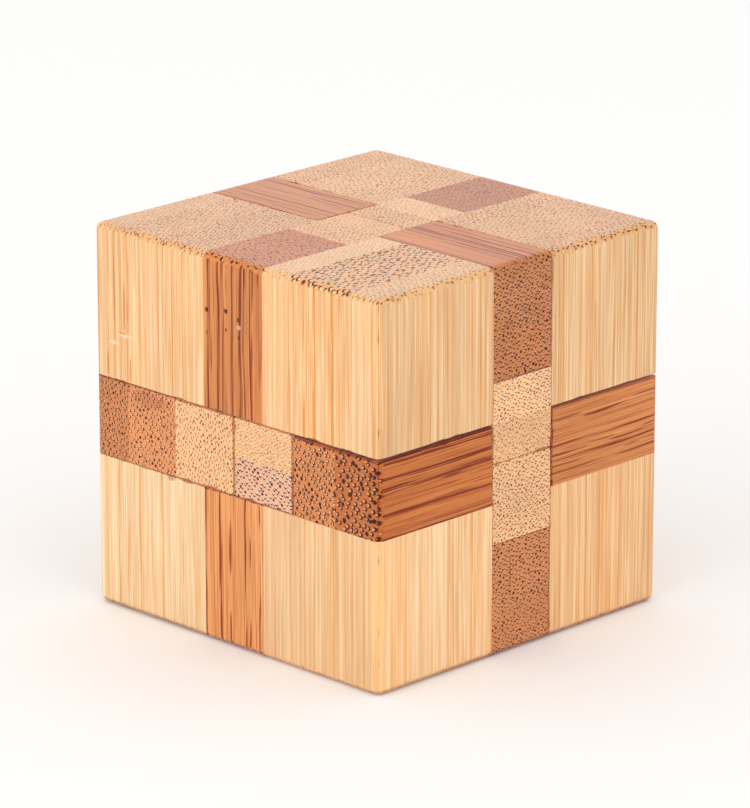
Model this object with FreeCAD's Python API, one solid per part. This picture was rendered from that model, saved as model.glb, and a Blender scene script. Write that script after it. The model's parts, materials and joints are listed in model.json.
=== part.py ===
import FreeCAD, Part
import os

# Burr puzzle: a cube of laminated bamboo in six interlocking pieces. Six square bars cross
# at the cube's middle, two along each axis and side by side. Blocks glued to the bars fill
# the rest of the cube. Five bars are notched. The sixth, the key, is plain and slides out
# along Y, and then the front, rear, top, bottom and left pieces come away in that order.
#
# Front is -Y, right is +X and up is +Z. Places are measured from the cube's centre while
# the blocks are made, and the finished cube stands on Z = 0 over the origin.

# Driving dimensions, in millimetres
SIDE = 45.0           # edge of the finished cube
BAR = 9.3             # width of a square bar
PLAY = 0.08           # usual gap between two pieces that slide past each other
KEY_SLACK = 0.06      # extra gap on each upright side of the key
LEFT_DROP = 0.06      # extra gap over the left piece
EAR_DROP = 0.38       # gap over the two ears
EAR_SLACK = 0.26      # gap between the rear ear and the bars in front of it
WING_SLACK = 0.14     # gap behind the front piece's two wings
TOP_SLACK = 0.14      # gap between the cross pieces' wings and the upright bars
EDGE_RADIUS = 1.0     # sanded rounding of the cube's twelve outer edges
EASE = 0.12           # rounding where a seam between two pieces comes to the surface

OUT = SIDE / 2        # centre to an outer face
H = BAR / 2           # centre to the far side of a bar that straddles an axis
FIT = PLAY / 2        # each piece's share of the usual gap
FAR = SIDE            # clears the cube in any direction
SAME_PLACE = 1e-6     # two places closer than this are the same


def box(x, y, z):
    """Plain box between two places along each axis."""
    corner = FreeCAD.Vector(x[0], y[0], z[0])
    return Part.makeBox(x[1] - x[0], y[1] - y[0], z[1] - z[0], corner)


def seam_edges(shape, faces):
    """Edges where one of the box's named faces, such as "+y", meets the cube's surface."""
    bounds = shape.BoundBox
    low = {"x": bounds.XMin, "y": bounds.YMin, "z": bounds.ZMin}
    high = {"x": bounds.XMax, "y": bounds.YMax, "z": bounds.ZMax}
    planes = []
    for face in faces.split():
        side, axis = face
        planes.append((axis, high[axis] if side == "+" else low[axis]))
    found = []
    for edge in shape.Edges:
        middle = edge.CenterOfMass
        place = {"x": middle.x, "y": middle.y, "z": middle.z}
        on_surface = any(abs(abs(value) - OUT) < SAME_PLACE for value in place.values())
        on_seam = any(abs(place[axis] - value) < SAME_PLACE for axis, value in planes)
        if on_surface and on_seam:
            found.append(edge)
    return found


def block(x, y, z, free):
    """Box whose free faces, those not glued to a neighbour, have eased edges outside."""
    shape = box(x, y, z)
    return shape.makeFillet(EASE, seam_edges(shape, free))


def mirrored(shape, axis):
    """Mirror image of a shape in the plane through the cube's centre, square to an axis."""
    normal = FreeCAD.Vector(axis == "x", axis == "y", axis == "z")
    return shape.mirror(FreeCAD.Vector(0, 0, 0), normal)


def key_piece():
    """The plain bar, glued up from two strips, that locks the others."""
    x = (FIT + KEY_SLACK, BAR - FIT - KEY_SLACK)
    y = (-OUT, OUT)
    return {
        "key_upper_strip": block(x, y, (0, H - FIT), "-x +x +z"),
        "key_lower_strip": block(x, y, (-H + FIT, 0), "-x +x -z"),
    }


def left_piece():
    """Bar along Y beside the key, with a wing on its left at each end."""
    z = (-H + FIT, H - FIT - LEFT_DROP)
    bar = block((-BAR, -FIT), (-OUT, OUT), z, "+x -z +z")
    notch = box((-H - PLAY, FAR), (-BAR - PLAY, BAR + PLAY), (-FAR, FAR))
    wing = block((-OUT, -BAR), (-OUT, -H - FIT), z, "+y -z +z")
    return {
        "left_bar": bar.cut(notch),
        "left_wing_front": wing,
        "left_wing_rear": mirrored(wing, "y"),
    }


def top_piece():
    """Bar along X, notched from below over the key and the left bar, with a wing on top."""
    y = (-H + FIT, H - FIT)
    bar = block((-OUT, OUT), y, (FIT, BAR), "-y +y -z")
    notch = box((-BAR - PLAY, BAR + FIT), (-FAR, FAR), (-FAR, H + FIT))
    wing = block((-OUT, -H - TOP_SLACK), y, (BAR, OUT), "-y +y +x")
    return {"top_bar": bar.cut(notch), "top_wing": wing}


def bottom_piece():
    """The top piece turned upside down."""
    return {name.replace("top", "bottom"): mirrored(shape, "z") for name, shape in top_piece().items()}


def upright_bar():
    """Front bar along Z, notched for the two cross bars and for the key."""
    bar = block((-H, H), (-BAR, -FIT), (-OUT, OUT), "+y")
    cross_notch = box((-FAR, FAR), (-H - FIT, FAR), (H - FIT, BAR + PLAY))
    key_notch = box((-FIT, FAR), (-FAR, FAR), (-H - FIT, H + FIT))
    return bar.cut([cross_notch, mirrored(cross_notch, "z"), key_notch])


def upright_blocks(name):
    """Front spines and corner blocks, above and below the middle band, under a piece's name."""
    back = -H - FIT
    z = (H + FIT, OUT)
    upper = {
        "spine": block((-H, H), (-OUT, -BAR), z, "-z"),
        "left_block": block((-OUT, -H), (-OUT, back), z, "+y -z"),
        "right_block": block((H, OUT), (-OUT, back), z, "+y -z"),
    }
    blocks = {}
    for part, shape in upper.items():
        blocks[f"{name}_upper_{part}"] = shape
        blocks[f"{name}_lower_{part}"] = mirrored(shape, "z")
    return blocks


def ear(back):
    """Front ear: the block right of the key in the middle band, glued to the block under it."""
    return block((BAR + FIT, OUT), (-OUT, back), (-H - FIT, H + FIT - EAR_DROP), "-x +y +z")


def front_piece():
    """Upright bar in front, with its blocks, an ear, and the two wings right of the middle."""
    wing = block((H + PLAY, OUT), (-H - FIT, H - WING_SLACK), (BAR + PLAY, OUT), "-x +y -z")
    shapes = {"front_bar": upright_bar()}
    shapes.update(upright_blocks("front"))
    shapes["front_ear"] = ear(-H - FIT)
    shapes["front_upper_wing"] = wing
    shapes["front_lower_wing"] = mirrored(wing, "z")
    return shapes


def rear_piece():
    """Mirror image of the front piece without the wings, and with a wider gap at its ear."""
    shapes = {"rear_bar": upright_bar()}
    shapes.update(upright_blocks("rear"))
    shapes["rear_ear"] = ear(-H - EAR_SLACK)
    return {name: mirrored(shape, "y") for name, shape in shapes.items()}


def sanded_cube():
    """The cube's outer form, with its edges and corners rounded by sanding."""
    cube = box((-OUT, OUT), (-OUT, OUT), (-OUT, OUT))
    return cube.makeFillet(EDGE_RADIUS, cube.Edges)


nodes = {}
for piece in (key_piece, left_piece, top_piece, bottom_piece, front_piece, rear_piece):
    nodes.update(piece())

os.makedirs("parts", exist_ok=True)
outer_form = sanded_cube()
for name, shape in nodes.items():
    finished = shape.common(outer_form).Solids[0]
    finished.translate(FreeCAD.Vector(0, 0, OUT))
    finished.exportStep(f"parts/{name}.step")
    print(f"{name}: {finished.Volume:.1f} mm3, valid {finished.isValid()}")
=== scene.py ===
import json
import math
import random
from types import SimpleNamespace

import bpy
import numpy as np
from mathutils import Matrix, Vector, noise
from mathutils.bvhtree import BVHTree


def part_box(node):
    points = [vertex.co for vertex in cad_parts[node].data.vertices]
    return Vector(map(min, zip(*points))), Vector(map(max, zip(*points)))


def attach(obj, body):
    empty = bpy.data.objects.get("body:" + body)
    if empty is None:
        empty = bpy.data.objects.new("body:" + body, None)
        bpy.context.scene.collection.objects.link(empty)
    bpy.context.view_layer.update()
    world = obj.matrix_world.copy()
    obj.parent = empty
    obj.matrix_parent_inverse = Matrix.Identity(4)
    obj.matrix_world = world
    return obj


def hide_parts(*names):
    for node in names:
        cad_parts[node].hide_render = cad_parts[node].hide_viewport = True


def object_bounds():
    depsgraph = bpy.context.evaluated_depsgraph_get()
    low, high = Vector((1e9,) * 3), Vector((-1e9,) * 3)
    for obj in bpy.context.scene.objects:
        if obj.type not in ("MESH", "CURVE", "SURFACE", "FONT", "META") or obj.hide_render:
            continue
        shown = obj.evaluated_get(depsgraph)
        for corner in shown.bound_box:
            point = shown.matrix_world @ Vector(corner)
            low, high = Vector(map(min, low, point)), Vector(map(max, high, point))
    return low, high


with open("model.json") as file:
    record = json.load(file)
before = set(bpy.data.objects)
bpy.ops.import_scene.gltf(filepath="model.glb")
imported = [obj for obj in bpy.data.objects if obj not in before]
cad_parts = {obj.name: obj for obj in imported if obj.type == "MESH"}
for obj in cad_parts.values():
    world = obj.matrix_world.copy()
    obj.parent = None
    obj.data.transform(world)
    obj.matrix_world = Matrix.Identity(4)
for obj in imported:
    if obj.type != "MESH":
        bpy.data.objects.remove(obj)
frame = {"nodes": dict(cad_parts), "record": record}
CAD_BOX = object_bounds()

# The cube, from the frame. Lengths are in metres.
LOW, HIGH = CAD_BOX
SIDE = HIGH.x - LOW.x
CENTRE = (LOW + HIGH) / 2
MM = 0.001
SIDE_MM = SIDE / MM
BODIES = frame["record"]["behaviour"]["bodies"]

# The camera: a long lens in front of the cube's right front edge, a little above it
CAMERA_AZIMUTH = math.radians(44.8)
CAMERA_ELEVATION = math.radians(17.6)
CAMERA_DISTANCE = 0.620
CAMERA_LENS = 244.5
AIM_LEFT = 0.26 * MM
AIM_UP = 0.93 * MM

# How the blocks' surfaces are made
EDGE_RADIUS = 1.0 * MM     # sanded rounding of the cube's outer edges, as in the CAD
EASE = 0.09 * MM           # usual rounding where a seam comes to the surface
CHIP = 0.34 * MM           # how much more a seam edge is rounded for each unit of raggedness
CHIP_LENGTH = 1.3 * MM     # size of the larger chips
CRUMB_LENGTH = 0.45 * MM   # size of the crumbs on top of them
CRUMB_SHARE = 0.6
UNCHIPPED = 0.12           # raggedness below this leaves an edge whole
EASE_DEPTH_UNIT = 0.1 * MM       # the ease_depth attribute is how far easing moves a point from the plain block, in this unit
WAVE = 0.035 * MM          # depth of the hollows that sanding leaves in a face
WAVE_LENGTH = 9 * MM
GRID = 0.75 * MM           # usual distance between a surface's points
EDGE_STEPS = [step * MM for step in (0.07, 0.18, 0.36, 0.65, 1.0)]   # points near a side
DENT_STEPS = (-1.4, -1.0, -0.7, -0.4, -0.15, 0.15, 0.4, 0.7, 1.0, 1.4)   # in dents' radii
SHARP = math.radians(50)   # edges that turn more than this are shaded sharp


def srgb(red, green, blue):
    """A colour named by its 0 to 255 display values, as Blender's linear values."""
    def linear(value):
        value /= 255
        return value / 12.92 if value < 0.04045 else ((value + 0.055) / 1.055) ** 2.4
    return (linear(red), linear(green), linear(blue), 1.0)


# ---------------------------------------------------------------- camera, floor and light

def direction(azimuth, elevation):
    """Unit vector from the cube towards a viewer; azimuth 0 is in front, 90 on the right."""
    return Vector((
        math.sin(azimuth) * math.cos(elevation),
        -math.cos(azimuth) * math.cos(elevation),
        math.sin(elevation),
    ))


def make_camera():
    """The camera that takes the main view."""
    back = direction(CAMERA_AZIMUTH, CAMERA_ELEVATION)
    turn = (-back).to_track_quat("-Z", "Y")
    data = bpy.data.cameras.new("camera")
    data.sensor_width = 36.0
    data.lens = CAMERA_LENS
    data.clip_start = 0.01
    data.clip_end = 20.0
    camera = bpy.data.objects.new("camera", data)
    aim = CENTRE + turn @ Vector((-AIM_LEFT, AIM_UP, 0))
    camera.location = aim + back * CAMERA_DISTANCE
    camera.rotation_mode = "QUATERNION"
    camera.rotation_quaternion = turn
    bpy.context.scene.collection.objects.link(camera)
    bpy.context.scene.camera = camera


def make_floor():
    """A plain pale floor, level with the cube's base."""
    half = 2.0
    drop = 0.02 * MM
    mesh = bpy.data.meshes.new("floor")
    sides = ((-half, -half), (half, -half), (half, half), (-half, half))
    mesh.from_pydata([(x, y, -drop) for x, y in sides], [], [(0, 1, 2, 3)])
    floor = bpy.data.objects.new("floor", mesh)
    bpy.context.scene.collection.objects.link(floor)
    material = bpy.data.materials.new("floor")
    material.use_nodes = True
    shader = material.node_tree.nodes["Principled BSDF"]
    shader.inputs["Base Color"].default_value = (0.95, 0.95, 0.95, 1)
    shader.inputs["Roughness"].default_value = 0.9
    shader.inputs["Specular IOR Level"].default_value = 0.1
    mesh.materials.append(material)


def make_lamp(name, azimuth, elevation, distance, size, watts, colour):
    """A square soft box that faces the cube."""
    data = bpy.data.lights.new(name, "AREA")
    data.size = size
    data.energy = watts
    data.color = colour
    lamp = bpy.data.objects.new(name, data)
    back = direction(math.radians(azimuth), math.radians(elevation))
    lamp.location = CENTRE + back * distance
    lamp.rotation_mode = "QUATERNION"
    lamp.rotation_quaternion = (-back).to_track_quat("-Z", "Y")
    bpy.context.scene.collection.objects.link(lamp)


def make_light():
    """White surroundings, a large soft box on the left and a weak one on the right."""
    world = bpy.data.worlds.new("studio")
    world.use_nodes = True
    background = world.node_tree.nodes["Background"]
    background.inputs["Color"].default_value = (1.0, 0.995, 0.985, 1)
    background.inputs["Strength"].default_value = 1.0
    bpy.context.scene.world = world
    make_lamp("key_light", 2, 14, 0.7, 0.5, 1.3, (1.0, 0.985, 0.96))
    make_lamp("fill_light", 80, 30, 0.8, 0.5, 0.3, (1.0, 0.98, 0.95))
    scene = bpy.context.scene
    scene.view_settings.view_transform = "Standard"
    scene.view_settings.look = "None"


# ---------------------------------------------------------------- shapes

def flat_places(mesh, axis):
    """Where a CAD block has flat faces square to one axis, in order."""
    smallest = (0.3 * MM) ** 2
    found = set()
    for face in mesh.polygons:
        if abs(face.normal[axis]) > 0.9999 and face.area > smallest:
            found.add(round(mesh.vertices[face.vertices[0]].co[axis], 6))
    return sorted(found)


def grid_lines(places, low, high, dents):
    """Places along one axis where a block's surface has points.

    They lie closer together near its sides and in dents, each given as (middle, radius).
    """
    wanted = []
    for start, end in zip(places, places[1:]):
        count = math.ceil((end - start) / GRID)
        wanted += [start + (end - start) * i / count for i in range(1, count)]
    for step in EDGE_STEPS:
        wanted += [low + step, high - step]
    for middle, radius in dents:
        wanted += [middle + radius * step for step in DENT_STEPS]
    least = 0.05 * MM
    lines = list(places)
    for line in sorted(wanted):
        if low < line < high and min(abs(line - other) for other in lines) > least:
            lines.append(line)
    return sorted(lines)


def filled_cells(node, places, lines):
    """Which cells between the grid lines are inside a CAD block, as an array of 0 and 1."""
    mesh = node.data
    tree = BVHTree.FromPolygons([v.co for v in mesh.vertices], [f.vertices for f in mesh.polygons])
    coarse = np.zeros([len(line) - 1 for line in places], dtype=int)
    for cell in np.ndindex(coarse.shape):
        middle = Vector([(places[a][cell[a]] + places[a][cell[a] + 1]) / 2 for a in range(3)])
        nearest, normal = tree.find_nearest(middle)[:2]
        coarse[cell] = (middle - nearest).dot(normal) < 0
    picks = []
    for place, line in zip(places, lines):
        middles = (np.array(line[1:]) + np.array(line[:-1])) / 2
        picks.append(np.searchsorted(place, middles) - 1)
    return coarse[np.ix_(*picks)]


def surface(lines, filled):
    """Points and square faces of the surface around the filled cells of a grid."""
    padded = np.pad(filled, 1)
    numbers = {}
    faces = []
    for axis in range(3):
        second, third = (axis + 1) % 3, (axis + 2) % 3
        change = np.diff(padded, axis=axis)
        for cell in np.argwhere(change):
            ring = []
            for step_second, step_third in ((0, 0), (1, 0), (1, 1), (0, 1)):
                corner = [0, 0, 0]
                corner[axis] = int(cell[axis])
                corner[second] = int(cell[second]) - 1 + step_second
                corner[third] = int(cell[third]) - 1 + step_third
                ring.append(numbers.setdefault(tuple(corner), len(numbers)))
            if change[tuple(cell)] > 0:
                ring.reverse()
            faces.append(ring)
    points = [Vector([lines[a][corner[a]] for a in range(3)]) for corner in numbers]
    return points, faces


def glued_sides(name, body):
    """Sides of a block, as (axis, is_high), that are glued to a block of the same piece."""
    touching = 0.005 * MM
    low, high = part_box(name)
    glued = set()
    for other in BODIES[body]:
        if other == name:
            continue
        other_low, other_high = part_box(other)
        for axis in range(3):
            beside = [a for a in range(3) if a != axis]
            if any(other_low[a] > high[a] - touching for a in beside):
                continue
            if any(other_high[a] < low[a] + touching for a in beside):
                continue
            if abs(other_high[axis] - low[axis]) < touching:
                glued.add((axis, False))
            if abs(other_low[axis] - high[axis]) < touching:
                glued.add((axis, True))
    return glued


def rounded(point, low, high, radius):
    """A point moved in to the surface of a box with rounded edges, if it is outside it.

    low and high are the corners of that box less its rounding.
    """
    inner = Vector([min(max(c, l), h) for c, l, h in zip(point, low, high)])
    away = point - inner
    if away.length <= radius:
        return point
    return inner + away.normalized() * radius


def worn(point, name, low, high, glued):
    """A point of a plain block, moved to where handling and sanding leave it, and how far easing
    moved it.

    Seam edges are eased and chipped, but not where two blocks are glued. The cube's own edges
    are rounded, and its faces are slightly hollow and have the block's dents.
    """
    apart = Vector((7.3, 1.9, 4.1))   # keeps chips and crumbs from lining up
    ragged = noise.noise(point / CHIP_LENGTH + apart)
    ragged += CRUMB_SHARE * noise.noise(point / CRUMB_LENGTH)
    radius = EASE + LOOKS[name]["ease"] * MM + CHIP * max(0.0, ragged - UNCHIPPED)
    low_inner = Vector([low[a] + (0 if (a, False) in glued else radius) for a in range(3)])
    high_inner = Vector([high[a] - (0 if (a, True) in glued else radius) for a in range(3)])
    eased = rounded(point, low_inner, high_inner, radius)
    ease_depth = (eased - point).length / EASE_DEPTH_UNIT
    point = eased
    inset = Vector((EDGE_RADIUS, EDGE_RADIUS, EDGE_RADIUS))
    point = rounded(point, LOW + inset, HIGH - inset, EDGE_RADIUS)
    hollow = WAVE * (0.5 + 0.5 * noise.noise(point / WAVE_LENGTH))
    for spot in LOOKS[name]["spots"]:
        away = point / MM - Vector(spot["at"])
        reach = Vector([part / size for part, size in zip(away, spot["size"])]).length
        hollow += spot["depth"] * MM * max(0.0, 1 - reach) ** 0.7
    moved = point.copy()
    for axis in range(3):
        for side, inward in ((LOW[axis], 1), (HIGH[axis], -1)):
            share = 1 - abs(point[axis] - side) / EDGE_RADIUS
            if share > 0:
                moved[axis] += inward * hollow * share ** 2
    return moved, ease_depth


def carve(name, body):
    """The visible block in place of a CAD node: the same shape with worn and chipped edges."""
    node = frame["nodes"][name]
    low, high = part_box(name)
    places = [flat_places(node.data, axis) for axis in range(3)]
    lines = []
    dented = [spot for spot in LOOKS[name]["spots"] if spot["depth"]]
    for axis in range(3):
        dents = [(spot["at"][axis] * MM, spot["size"][axis] * MM) for spot in dented]
        lines.append(grid_lines(places[axis], low[axis], high[axis], dents))
    points, faces = surface(lines, filled_cells(node, places, lines))
    glued = glued_sides(name, body)
    moved, ease_depth = zip(*[worn(point, name, low, high, glued) for point in points])
    mesh = bpy.data.meshes.new(f"{name}_wood")
    mesh.from_pydata(moved, [], faces)
    mesh.attributes.new("ease_depth", "FLOAT", "POINT").data.foreach_set("value", ease_depth)
    mesh.shade_smooth()
    mesh.set_sharp_from_angle(angle=SHARP)
    piece = bpy.data.objects.new(f"{name}_wood", mesh)
    bpy.context.scene.collection.objects.link(piece)
    mesh.materials.append(bamboo(name, LOOKS[name]))
    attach(piece, body)
    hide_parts(name)


# ---------------------------------------------------------------- bamboo

class Pattern:
    """Builds shader nodes in one tree. Each method returns the new node's output."""

    def __init__(self, tree):
        self.tree = tree

    def node(self, kind, **settings):
        made = self.tree.nodes.new(kind)
        for key, value in settings.items():
            setattr(made, key, value)
        return made

    def join(self, socket, value):
        """Links an output to an input, or sets the input to a plain value."""
        if isinstance(value, bpy.types.NodeSocket):
            self.tree.links.new(value, socket)
        else:
            socket.default_value = value

    def math(self, operation, *values, clamp=False):
        made = self.node("ShaderNodeMath", operation=operation, use_clamp=clamp)
        for socket, value in zip(made.inputs, values):
            self.join(socket, value)
        return made.outputs[0]

    def add(self, *values):
        total = values[0]
        for value in values[1:]:
            total = self.math("ADD", total, value)
        return total

    def times(self, *values):
        total = values[0]
        for value in values[1:]:
            total = self.math("MULTIPLY", total, value)
        return total

    def line(self, value, factor, offset):
        """value times factor plus offset."""
        return self.math("MULTIPLY_ADD", value, factor, offset)

    def vector(self, x, y, z):
        made = self.node("ShaderNodeCombineXYZ")
        for socket, value in zip(made.inputs, (x, y, z)):
            self.join(socket, value)
        return made.outputs[0]

    def split(self, vector):
        made = self.node("ShaderNodeSeparateXYZ")
        self.join(made.inputs[0], vector)
        return tuple(made.outputs)

    def vector_math(self, operation, first, second, output="Vector"):
        made = self.node("ShaderNodeVectorMath", operation=operation)
        self.join(made.inputs[0], first)
        self.join(made.inputs[1], second)
        return made.outputs[output]

    def length(self, x, y):
        """Length of a flat arrow."""
        return self.math("SQRT", self.line(x, x, self.times(y, y)))

    def noise(self, x, y, z, detail=2.0, output="Fac"):
        made = self.node("ShaderNodeTexNoise")
        self.join(made.inputs["Vector"], self.vector(x, y, z))
        made.inputs["Scale"].default_value = 1.0
        made.inputs["Detail"].default_value = detail
        return made.outputs[output]

    def fade(self, value, low, high, out_low=0.0, out_high=1.0):
        """Smooth step from out_low to out_high as a value goes from low to high."""
        made = self.node("ShaderNodeMapRange", interpolation_type="SMOOTHSTEP")
        for socket, number in zip(made.inputs, (value, low, high, out_low, out_high)):
            self.join(socket, number)
        return made.outputs["Result"]

    def mix(self, share, first, second, blend="MIX"):
        made = self.node("ShaderNodeMixRGB", blend_type=blend)
        for socket, value in zip(made.inputs, (share, first, second)):
            self.join(socket, value)
        return made.outputs[0]

    def steps(self, value, starts, colours):
        """A constant colour from each start on, for a value between 0 and 1."""
        made = self.node("ShaderNodeValToRGB")
        ramp = made.color_ramp
        ramp.interpolation = "CONSTANT"
        while len(ramp.elements) > 1:
            ramp.elements.remove(ramp.elements[-1])
        ramp.elements[0].position = 0.0
        ramp.elements[0].color = colours[0]
        for start, colour in zip(starts[1:], colours[1:]):
            ramp.elements.new(start).color = colour
        self.join(made.inputs["Fac"], value)
        return made.outputs["Color"]


# Each kind of bamboo: the soft ground tissue and the fibre bundles, as seen along the grain
# and on the end grain, and how strongly the bundles show. "drift" is how far a bundle
# wanders, in millimetres, and "turns" how often.
# "pore" is a painted highlight in each open pore of the end grain.
TONES = {
    "natural": {
        "ground": srgb(232, 184, 134), "streak": srgb(222, 146, 70), "pale": srgb(250, 220, 174),
        "end_ground": srgb(232, 174, 124), "ring": srgb(112, 50, 18), "pore": srgb(250, 224, 184),
        "streak_strength": 0.85, "ring_strength": 0.90, "drift": 0.16, "turns": 0.07,
        "dark_from": 0.35, "dark_to": 0.95, "hair": 0.60, "sheen": 0.55,
    },
    "caramel": {
        "ground": srgb(209, 130, 72), "streak": srgb(138, 54, 8), "pale": srgb(222, 152, 96),
        "end_ground": srgb(192, 119, 72), "ring": srgb(68, 22, 8), "pore": srgb(228, 168, 118),
        "streak_strength": 0.95, "ring_strength": 1.0, "drift": 0.32, "turns": 0.11,
        "dark_from": 0.05, "dark_to": 0.55, "hair": 0.60, "sheen": 0.70,
    },
    "pink": {
        "ground": srgb(210, 152, 116), "streak": srgb(150, 76, 44), "pale": srgb(228, 186, 158),
        "end_ground": srgb(224, 168, 132), "ring": srgb(62, 24, 14), "pore": srgb(246, 216, 200),
        "streak_strength": 0.7, "ring_strength": 1.0, "drift": 0.3, "turns": 0.10,
        "dark_from": 0.2, "dark_to": 0.7, "hair": 0.5, "sheen": 0.55,
    },
}

BUNDLE_TURN = math.radians(33)    # the bundles' rows lie at this angle to the strips
CROWD = 0.25                      # how much closer bundles lie at the stem's outside
BUNDLE_ORDER = 0.58               # 0 sets the bundles out in a square grid and 1 at random
PORE_SHIFT = 0.50                 # a bundle's pore is this share of its radius off its middle
EDGE_TINT_REACH = 0.95                  # how far in from the cube's sides its edges are tinted, in mm
EDGE_TINT_FULL = 0.40                   # and how far in they are fully tinted
# Warmer rims: partly burnished end grain, partly painted light in place of their missing sheen
BURNISH_AND_LOST_SHEEN = (1.0, 0.90, 0.72, 1)     # these three darken a colour that they multiply
# Painted shade on the cube's bottom edges
BOTTOM_EDGE_SHADE = (0.62, 0.50, 0.42, 1)
# Painted shade for eased and chipped seam edges
EASED_EDGE_SHADE = (0.62, 0.34, 0.16, 1)


def strip_table(look, rng):
    """Start, width, direction and tint of each glued strip, and its bundles' spacing and look."""
    cuts = [0.0, *look["cuts"], 1.0]
    rows = []
    for i, (start, end) in enumerate(zip(cuts, cuts[1:])):
        own = look["strips"][i] if i < len(look["strips"]) else {}
        rows.append(SimpleNamespace(
            start=start,
            width=end - start,
            flip=float(own.get("flip", rng.random() < 0.5)),
            shade=own.get("shade", rng.uniform(0.97, 1.03)) * look["shade"],
            warm=own.get("warm", rng.uniform(-0.015, 0.015)) + look["warm"],
            cell=own.get("cell", rng.uniform(0.50, 0.66)),
            ring=own.get("ring", rng.uniform(0.80, 1.10)),
            size=own.get("size", 0.23),
        ))
    return rows


def strip_at(p, u, rows):
    """The shader values of the glued strip that a place across the strips is in.

    "paint" is half of the strip's tint. The brightness that multiplies it is doubled.
    """
    share = p.math("DIVIDE", u, SIDE_MM)
    starts = [row.start for row in rows]
    layout = p.steps(share, starts, [(row.start, row.width, row.flip, 1) for row in rows])
    bundles = p.steps(share, starts, [(row.cell, row.ring, row.size, 1) for row in rows])
    paint = p.steps(share, starts, [
        (row.shade * (1 + row.warm) / 2, row.shade / 2, row.shade * (1 - row.warm) / 2, 1)
        for row in rows
    ])
    start, width, flip = p.split(layout)
    cell, ring, size = p.split(bundles)
    through = p.math("DIVIDE", p.math("SUBTRACT", share, start), width, clamp=True)
    outward = p.math("ABSOLUTE", p.math("SUBTRACT", through, flip))
    return SimpleNamespace(start=start, width=width, through=through, outward=outward,
                           cell=cell, ring=ring, size=size, paint=paint)


def bundles_at(p, place, strip, tone, offset):
    """Fibre bundles as round spots across the grain: each is a dark disk with a pore off its middle,
    painted pale as a highlight.

    They wander a little on their way, and crowd together towards the stem's outside.
    """
    u, v, w = place
    turns = p.times(w, tone["turns"])
    drift = p.noise(p.line(u, 0.35, offset), p.times(v, 0.35), turns, 1.0, "Color")
    drift_u, drift_v = p.split(drift)[:2]
    depth = p.times(strip.outward, strip.width, SIDE_MM)
    crowded = p.times(depth, p.line(strip.outward, CROWD / 2, 1.0))
    across = p.math("DIVIDE", p.line(drift_u, 2 * tone["drift"], crowded), strip.cell)
    beside = p.math("DIVIDE", p.line(drift_v, 2 * tone["drift"], v), strip.cell)
    fresh = p.line(strip.start, 77.0, offset)
    cosine, sine = math.cos(BUNDLE_TURN), math.sin(BUNDLE_TURN)
    row = p.line(across, cosine, p.line(beside, -sine, fresh))
    rank = p.line(across, sine, p.line(beside, cosine, fresh))
    here = p.vector(row, rank, 0.0)
    cells = p.node("ShaderNodeTexVoronoi", voronoi_dimensions="2D", feature="F1")
    p.join(cells.inputs["Vector"], here)
    cells.inputs["Scale"].default_value = 1.0
    cells.inputs["Randomness"].default_value = BUNDLE_ORDER
    chance_size, chance_dark, chance_pore = p.split(cells.outputs["Color"])

    from_row, from_rank = p.split(p.vector_math("SUBTRACT", here, cells.outputs["Position"]))[:2]
    stretch = p.line(strip.outward, CROWD, 1.0)
    off_across = p.math("DIVIDE", p.line(from_row, cosine, p.times(from_rank, sine)), stretch)
    off_beside = p.line(from_rank, cosine, p.times(from_row, -sine))
    radius = p.line(chance_size, 0.07, strip.size)
    distance = p.length(off_across, off_beside)
    disk = p.fade(distance, p.times(radius, 0.80), p.times(radius, 1.10), 1.0, 0.0)
    pore_distance = p.length(p.line(radius, PORE_SHIFT, off_across), off_beside)
    pore = p.fade(pore_distance, p.times(radius, 0.38), p.times(radius, 0.68), 1.0, 0.0)
    pore = p.times(pore, p.fade(chance_pore, 0.05, 0.4))
    return SimpleNamespace(disk=disk, pore=pore, chance_dark=chance_dark)


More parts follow.
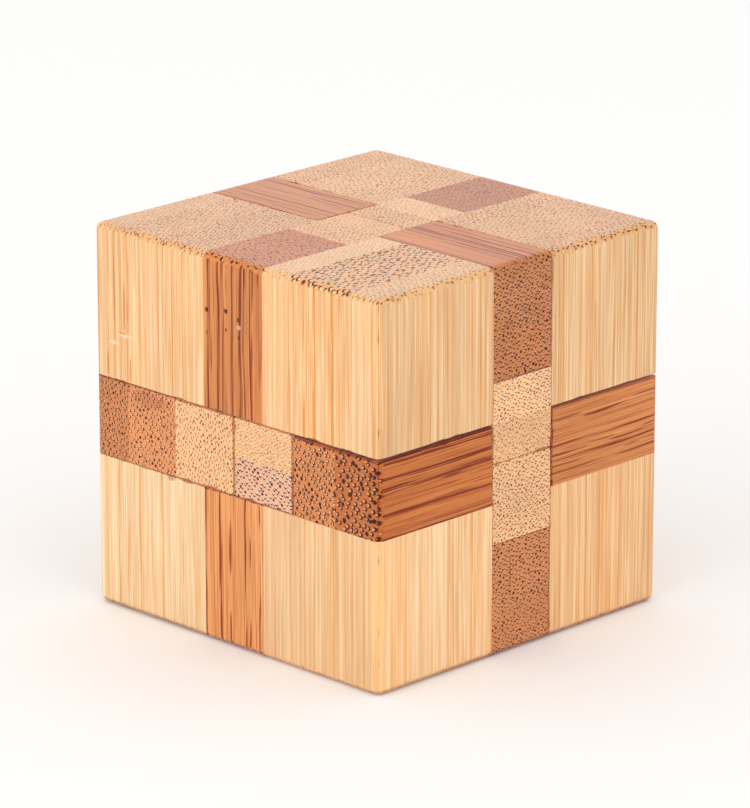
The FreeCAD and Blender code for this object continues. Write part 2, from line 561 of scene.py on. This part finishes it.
def bamboo(name, look):
    """Laminated bamboo as a solid: fibre bundles run along one axis through the whole block.

    On the end grain each bundle shows as a dark cap beside a pore painted pale as a highlight. Along
    the grain the surface cuts bundles lengthwise, so they show as streaks that fade in and out.
    """
    rng = random.Random(look["seed"])
    tone = TONES[look["tone"]]
    material = bpy.data.materials.new(name)
    material.use_nodes = True
    p = Pattern(material.node_tree)
    shader = material.node_tree.nodes["Principled BSDF"]

    # Places in millimetres: u across the strips, v along them, w along the fibre
    coordinates = p.node("ShaderNodeTexCoord")
    scaled = p.vector_math("MULTIPLY", coordinates.outputs["Object"], (1 / MM, 1 / MM, 1 / MM))
    x, y, z = p.split(scaled)
    places = {"x": p.add(x, SIDE_MM / 2), "y": p.add(y, SIDE_MM / 2), "z": z}
    beside = ({"x", "y", "z"} - {look["fibre"], look["stack"]}).pop()
    u, v, w = places[look["stack"]], places[beside], places[look["fibre"]]
    offset = rng.uniform(10, 90)
    strip = strip_at(p, u, strip_table(look, rng))
    bundle = bundles_at(p, (u, v, w), strip, tone, offset)

    # Fine fibres between the bundles, and slow changes of tone
    fine = p.noise(p.line(u, 6.5, offset), p.times(v, 6.5), p.times(w, 0.07), 3.0)
    broad = p.noise(p.line(u, 2.0, offset), p.times(v, 2.0), p.times(w, 0.025), 2.0)
    cloud = p.noise(p.line(u, 0.2, offset), p.times(v, 0.2), p.times(w, 0.06), 1.0)

    # Along the grain: bundles cut lengthwise, hairlines, and wider pale and warm bands
    dark_from, dark_to = tone["dark_from"] + look["calm"], tone["dark_to"] + look["calm"]
    dark_share = p.times(p.fade(bundle.chance_dark, dark_from, dark_to), strip.ring)
    streak = p.times(bundle.disk, dark_share, tone["streak_strength"])
    hair = p.times(strip.ring, tone["hair"])
    side = p.mix(p.fade(broad, 0.50, 0.66, 0.0, 0.50), tone["ground"], tone["pale"])
    side = p.mix(p.fade(broad, 0.46, 0.34, 0.0, 0.20), side, tone["streak"])
    side = p.mix(streak, side, tone["streak"])
    side = p.mix(p.fade(fine, 0.56, 0.63, 0.0, hair), side, tone["pale"])
    side = p.mix(p.fade(fine, 0.43, 0.36, 0.0, hair), side, tone["streak"])

    # End grain: soft ground, dark caps, and pores painted pale as highlights
    grit = p.noise(p.line(x, 3.1, offset), p.times(y, 3.1), p.times(z, 3.1), 3.0)
    ring = p.times(bundle.disk, p.line(bundle.pore, -1.0, 1.0), strip.ring)
    ring = p.times(ring, p.line(strip.outward, 0.20, 0.85), tone["ring_strength"])
    end = p.mix(p.fade(strip.ring, 0.5, 1.0, 0.6, 0.0), tone["end_ground"], tone["pale"])
    end = p.mix(p.fade(grit, 0.40, 0.65, 0.0, 0.30), end, tone["pale"])
    end = p.mix(ring, end, tone["ring"])
    # Painted highlight: each pore is painted pale as if lit
    end = p.mix(p.times(bundle.pore, strip.ring), end, tone["pore"])

    # How squarely the surface cuts the fibre
    along = {"x": (1, 0, 0), "y": (0, 1, 0), "z": (0, 0, 1)}[look["fibre"]]
    normal = coordinates.outputs["Normal"]
    facing = p.math("ABSOLUTE", p.vector_math("DOT_PRODUCT", normal, along, "Value"))
    is_end = p.fade(facing, 0.25, 0.6)
    colour = p.mix(is_end, side, end)

    # Shade: clouds, each strip's own tint, and a thin dark glue line where it starts
    glue = p.fade(p.times(strip.through, strip.width), 0.0004, 0.0022, 0.80, 1.0)
    brightness = p.times(p.add(p.line(fine, 0.20, 0.90), p.line(cloud, 0.24, -0.12)), glue, 2.0)
    colour = p.vector_math("MULTIPLY", colour, strip.paint)
    colour = p.vector_math("MULTIPLY", colour, p.vector(brightness, brightness, brightness))

    # The sanded edges of the cube are tinted warmer: partly burnished end grain, partly painted
    # light for the sheen that the rims lack where they face the light. The bottom edges get painted
    # shade.
    # Only near an edge are two of the three distances from the cube's middle both close to half its
    # side.
    x_out, y_out = p.math("ABSOLUTE", x), p.math("ABSOLUTE", y)
    z_out = p.math("ABSOLUTE", p.add(z, -SIDE_MM / 2))
    larger, smaller = p.math("MAXIMUM", x_out, y_out), p.math("MINIMUM", x_out, y_out)
    second = p.math("MAXIMUM", smaller, p.math("MINIMUM", larger, z_out))
    on_edge = p.fade(second, SIDE_MM / 2 - EDGE_TINT_REACH, SIDE_MM / 2 - EDGE_TINT_FULL)
    underneath = p.fade(z, 0.45, 0.9, 1.0, 0.0)
    # Partly burnish, partly painted light: the rounded edges are warmed as if they showed less sheen
    colour = p.mix(p.times(on_edge, 0.65), colour, BURNISH_AND_LOST_SHEEN, "MULTIPLY")
    # Painted shade along the bottom edges, where the cube meets the floor
    colour = p.mix(p.times(on_edge, underneath, 0.8), colour, BOTTOM_EDGE_SHADE, "MULTIPLY")
    ease_depth = p.node("ShaderNodeAttribute", attribute_name="ease_depth").outputs["Fac"]
    # Painted shade in the grooves of eased and chipped seam edges: the deeper the easing, the darker
    colour = p.mix(p.fade(ease_depth, 0.05, 0.55, 0.0, 0.9), colour, EASED_EDGE_SHADE, "MULTIPLY")
    for spot in look["spots"]:
        colour = tinted(p, scaled, colour, spot)
    p.join(shader.inputs["Base Color"], colour)

    # Satin surface; pores are open on the end grain and fibres stand proud along it
    p.join(shader.inputs["Roughness"], p.add(p.line(fine, 0.25, 0.38), p.times(ring, 0.08)))
    shader.inputs["Specular IOR Level"].default_value = 0.22
    shader.inputs["Sheen Weight"].default_value = tone["sheen"]
    shader.inputs["Sheen Roughness"].default_value = 0.30
    shader.inputs["Sheen Tint"].default_value = (1.0, 0.84, 0.96, 1)
    pits = p.times(is_end, p.add(p.times(ring, 0.5), p.times(bundle.pore, 0.2)))
    grooves = p.times(p.line(is_end, -1.0, 1.0), streak, 0.30)
    height = p.line(p.add(pits, grooves), -1.0, p.times(fine, 0.25))
    bump = p.node("ShaderNodeBump")
    bump.inputs["Strength"].default_value = 1.0
    bump.inputs["Distance"].default_value = 0.04 * MM
    p.join(bump.inputs["Height"], height)
    p.join(shader.inputs["Normal"], bump.outputs["Normal"])
    return material


def tinted(p, scaled, colour, spot):
    """Tints the inside of a blemish's ellipsoid, with a ragged edge."""
    away = p.vector_math("DIVIDE", p.vector_math("SUBTRACT", scaled, spot["at"]), spot["size"])
    x, y, z = p.split(p.vector_math("MULTIPLY", scaled, (1.9, 1.9, 1.9)))
    ragged = p.line(p.noise(x, y, z), spot["ragged"], -spot["ragged"] / 2)
    reach = p.add(p.vector_math("LENGTH", away, (0, 0, 0), "Value"), ragged)
    return p.mix(p.fade(reach, 0.65, 1.05, spot["strength"], 0.0), colour, spot["colour"])


# ---------------------------------------------------------------- what each block looks like

def mark(at, size, colour, strength, depth, ragged):
    """A blemish: its place, radii and depth in millimetres in the cube's frame."""
    return {
        "at": at, "size": size, "colour": colour,
        "strength": strength, "depth": depth, "ragged": ragged,
    }


def wood(
        tone, fibre, stack, cuts=(), strips=(), spots=(), *,
        seed, shade=1.0, warm=0.0, ease=0.0, calm=0.0):
    """What one block is cut from: fibres along one axis, strips stacked along another.

    cuts between the glued strips are shares of the cube's side. strips holds what is given for
    each of them, from the lowest, and the rest is drawn with the seed. warm above 0 is
    redder, ease is extra rounding of its seam edges in millimetres, and calm leaves out streaks.
    """
    return {
        "tone": tone, "fibre": fibre, "stack": stack, "cuts": cuts, "strips": strips,
        "spots": spots, "seed": seed, "shade": shade, "warm": warm, "ease": ease, "calm": calm,
    }


FRONT = -SIDE_MM / 2          # the front face's place along Y, in millimetres
RIGHT = SIDE_MM / 2           # the right face's place along X
RESIN = srgb(120, 52, 20)     # dark fibre and stain
PIT_SHADE = srgb(60, 22, 8)        # painted shade inside a pit
FIBRE = srgb(196, 116, 58)    # a coarse fibre beside a bamboo stem's node
BARE = srgb(255, 226, 196)    # freshly broken bamboo

# Pits in the upper spine: real dents, with painted shade inside them
SPINE_PITS = [
    mark((-4.15, FRONT, 38.5), (0.34, 0.5, 0.36), PIT_SHADE, 0.9, 0.30, 0.2),
    mark((-1.10, FRONT, 38.9), (0.30, 0.5, 0.34), PIT_SHADE, 0.9, 0.28, 0.2),
    mark((0.95, FRONT, 38.3), (0.34, 0.5, 0.42), PIT_SHADE, 0.8, 0.25, 0.2),
    mark((-4.10, FRONT, 35.9), (0.26, 0.5, 0.38), PIT_SHADE, 0.6, 0.20, 0.2),
    mark((-1.10, FRONT, 36.8), (0.20, 0.5, 0.26), PIT_SHADE, 0.7, 0.15, 0.2),
    mark((0.95, FRONT, 36.3), (0.26, 0.5, 0.36), PIT_SHADE, 0.8, 0.20, 0.2),
    mark((0.95, FRONT, 37.5), (0.34, 0.5, 0.36), BARE, 0.35, 0.0, 0.9),
]
NODE_SCAR = [
    mark((-17.3, FRONT, 32.6), (1.3, 0.8, 0.30), BARE, 0.42, 0.12, 0.9),
    mark((-19.4, FRONT, 31.5), (1.2, 0.8, 0.30), BARE, 0.30, 0.12, 1.1),
    mark((-17.9, FRONT, 32.8), (0.7, 0.8, 0.10), FIBRE, 0.8, 0.0, 0.3),
    mark((-17.5, FRONT, 35.9), (0.17, 0.8, 3.3), FIBRE, 0.75, 0.0, 0.4),
    mark((-19.1, FRONT, 37.4), (0.15, 0.8, 5.0), FIBRE, 0.65, 0.0, 0.4),
    mark((-17.0, FRONT, 35.5), (0.14, 0.8, 1.8), FIBRE, 0.55, 0.0, 0.4),
    mark((-20.3, FRONT, 28.9), (0.18, 0.8, 1.7), FIBRE, 0.70, 0.0, 0.4),
    mark((-16.6, FRONT, 28.7), (0.16, 0.8, 1.8), FIBRE, 0.70, 0.0, 0.4),
]

# The shades above 1 on the lower blocks in front (bottom_bar, front_lower_wing, front_lower_spine
# and the front lower blocks) are partly painted light thrown up from the floor, on top of each
# block's own tone.
LOOKS = {
    "key_upper_strip": wood(
        "natural", "y", "z", (),
        [{"cell": 0.42, "ring": 0.90, "shade": 0.99}],
        seed=11, ease=0.12),
    "key_lower_strip": wood(
        "pink", "y", "z", (),
        [{"cell": 0.60, "ring": 1.0, "size": 0.27, "flip": 1}],
        seed=12, ease=0.12),
    "left_bar": wood(
        "natural", "y", "x", (0.397,),
        [{"cell": 0.54, "ring": 0.95}, {"cell": 0.56, "ring": 0.95}],
        seed=13, ease=0.10),
    "left_wing_front": wood(
        "caramel", "y", "x", (0.12,),
        [{"cell": 0.58, "ring": 1.1, "size": 0.27, "shade": 0.98, "flip": 1},
         {"cell": 0.60, "ring": 1.2, "size": 0.26, "shade": 1.29, "warm": -0.05}],
        [mark((-13.6, FRONT, 26.0), (3.3, 1.5, 1.1), RESIN, 0.30, 0.0, 1.0)],
        seed=14),
    "left_wing_rear": wood("caramel", "y", "x", (0.14,), seed=15),
    "top_bar": wood(
        "natural", "x", "z", (0.60,),
        [{"cell": 0.48, "ring": 1.1, "shade": 0.98, "warm": 0.01},
         {"cell": 0.50, "ring": 1.1, "shade": 1.18, "warm": -0.04}],
        seed=16, ease=-0.04),
    "top_wing": wood("caramel", "x", "z", (0.84,), seed=17, shade=1.10, warm=-0.07, calm=0.1),
    "bottom_bar": wood(
        "natural", "x", "z", (0.40,),
        [{"cell": 0.50, "ring": 1.1}, {"cell": 0.52, "ring": 1.15}],
        seed=18, shade=1.06, ease=-0.04),
    "bottom_wing": wood("caramel", "x", "z", (0.15,), seed=19),
    "front_bar": wood("natural", "z", "y", (0.40,), seed=20),
    "rear_bar": wood("natural", "z", "y", (0.60,), seed=21),
    "front_upper_spine": wood(
        "caramel", "z", "y", (0.15,),
        [{"cell": 0.70, "ring": 1.2, "shade": 1.07}, {"cell": 0.70, "ring": 1.1}],
        SPINE_PITS,
        seed=22, shade=1.04, calm=-0.25),
    "front_lower_spine": wood(
        "caramel", "z", "y", (0.14,),
        [{"cell": 0.66, "ring": 1.1}],
        seed=23, shade=1.54, warm=-0.10, calm=-0.10),
    "rear_upper_spine": wood("caramel", "z", "y", (0.87,), seed=24),
    "rear_lower_spine": wood("caramel", "z", "y", (0.86,), seed=25),
    "front_ear": wood(
        "caramel", "y", "x", (0.85,),
        [{"cell": 0.68, "ring": 1.1, "size": 0.27, "shade": 1.06, "warm": 0.02, "flip": 0},
         {"cell": 0.78, "ring": 1.3, "size": 0.32, "shade": 0.69, "warm": 0.26, "flip": 0}],
        seed=26, ease=0.10, calm=0.05),
    "rear_ear": wood("caramel", "y", "x", (0.86,), seed=27, shade=0.98, calm=0.22),
    "front_upper_wing": wood(
        "caramel", "x", "z", (0.835,),
        [{"cell": 0.54, "ring": 1.3, "size": 0.29, "shade": 0.96, "warm": 0.07},
         {"cell": 0.52, "ring": 1.1, "size": 0.28, "flip": 1}],
        [mark((RIGHT, -2.2, 38.2), (0.8, 0.9, 0.7), RESIN, 0.25, 0.0, 0.9)],
        seed=28),
    "front_lower_wing": wood(
        "caramel", "x", "z", (0.12,),
        [{"cell": 0.50, "ring": 1.15, "size": 0.25}, {"cell": 0.56, "ring": 1.15, "size": 0.25}],
        [mark((RIGHT, -1.8, 9.5), (0.8, 0.13, 2.8), RESIN, 0.6, 0.0, 1.3)],
        seed=29, shade=1.12),
    "front_upper_left_block": wood(
        "natural", "z", "x", (0.095, 0.23), (), NODE_SCAR,
        seed=31, shade=0.95),
    "front_upper_right_block": wood(
        "natural", "z", "x", (0.69, 0.90),
        [{"cell": 0.50, "ring": 0.7},
         {"cell": 0.80, "ring": 1.3, "size": 0.29, "shade": 0.97},
         {"cell": 0.60, "ring": 0.8}],
        seed=32, shade=0.98),
    "front_lower_left_block": wood(
        "natural", "z", "x", (0.11, 0.26), (),
        [mark((-10.0, FRONT, 17.6), (0.7, 0.8, 0.35), RESIN, 0.45, 0.0, 0.8)],
        seed=33, shade=1.08, warm=-0.10),
    "front_lower_right_block": wood(
        "natural", "z", "y", (0.11, 0.22),
        [{"ring": 0.60, "shade": 1.03}, {"ring": 0.50, "shade": 1.04, "warm": -0.03}, {"ring": 0.9}],
        seed=34, shade=1.12, warm=-0.03),
    "rear_upper_left_block": wood("natural", "z", "x", (0.12, 0.27), seed=35, shade=0.95),
    "rear_upper_right_block": wood("natural", "z", "x", (0.69, 0.89), seed=36, shade=0.93),
    "rear_lower_left_block": wood("natural", "z", "x", (0.10, 0.25), seed=37),
    "rear_lower_right_block": wood("natural", "z", "x", (0.72, 0.88), seed=38),
}


make_camera()
make_floor()
make_light()
for body_name, node_names in BODIES.items():
    for node_name in node_names:
        carve(node_name, body_name)
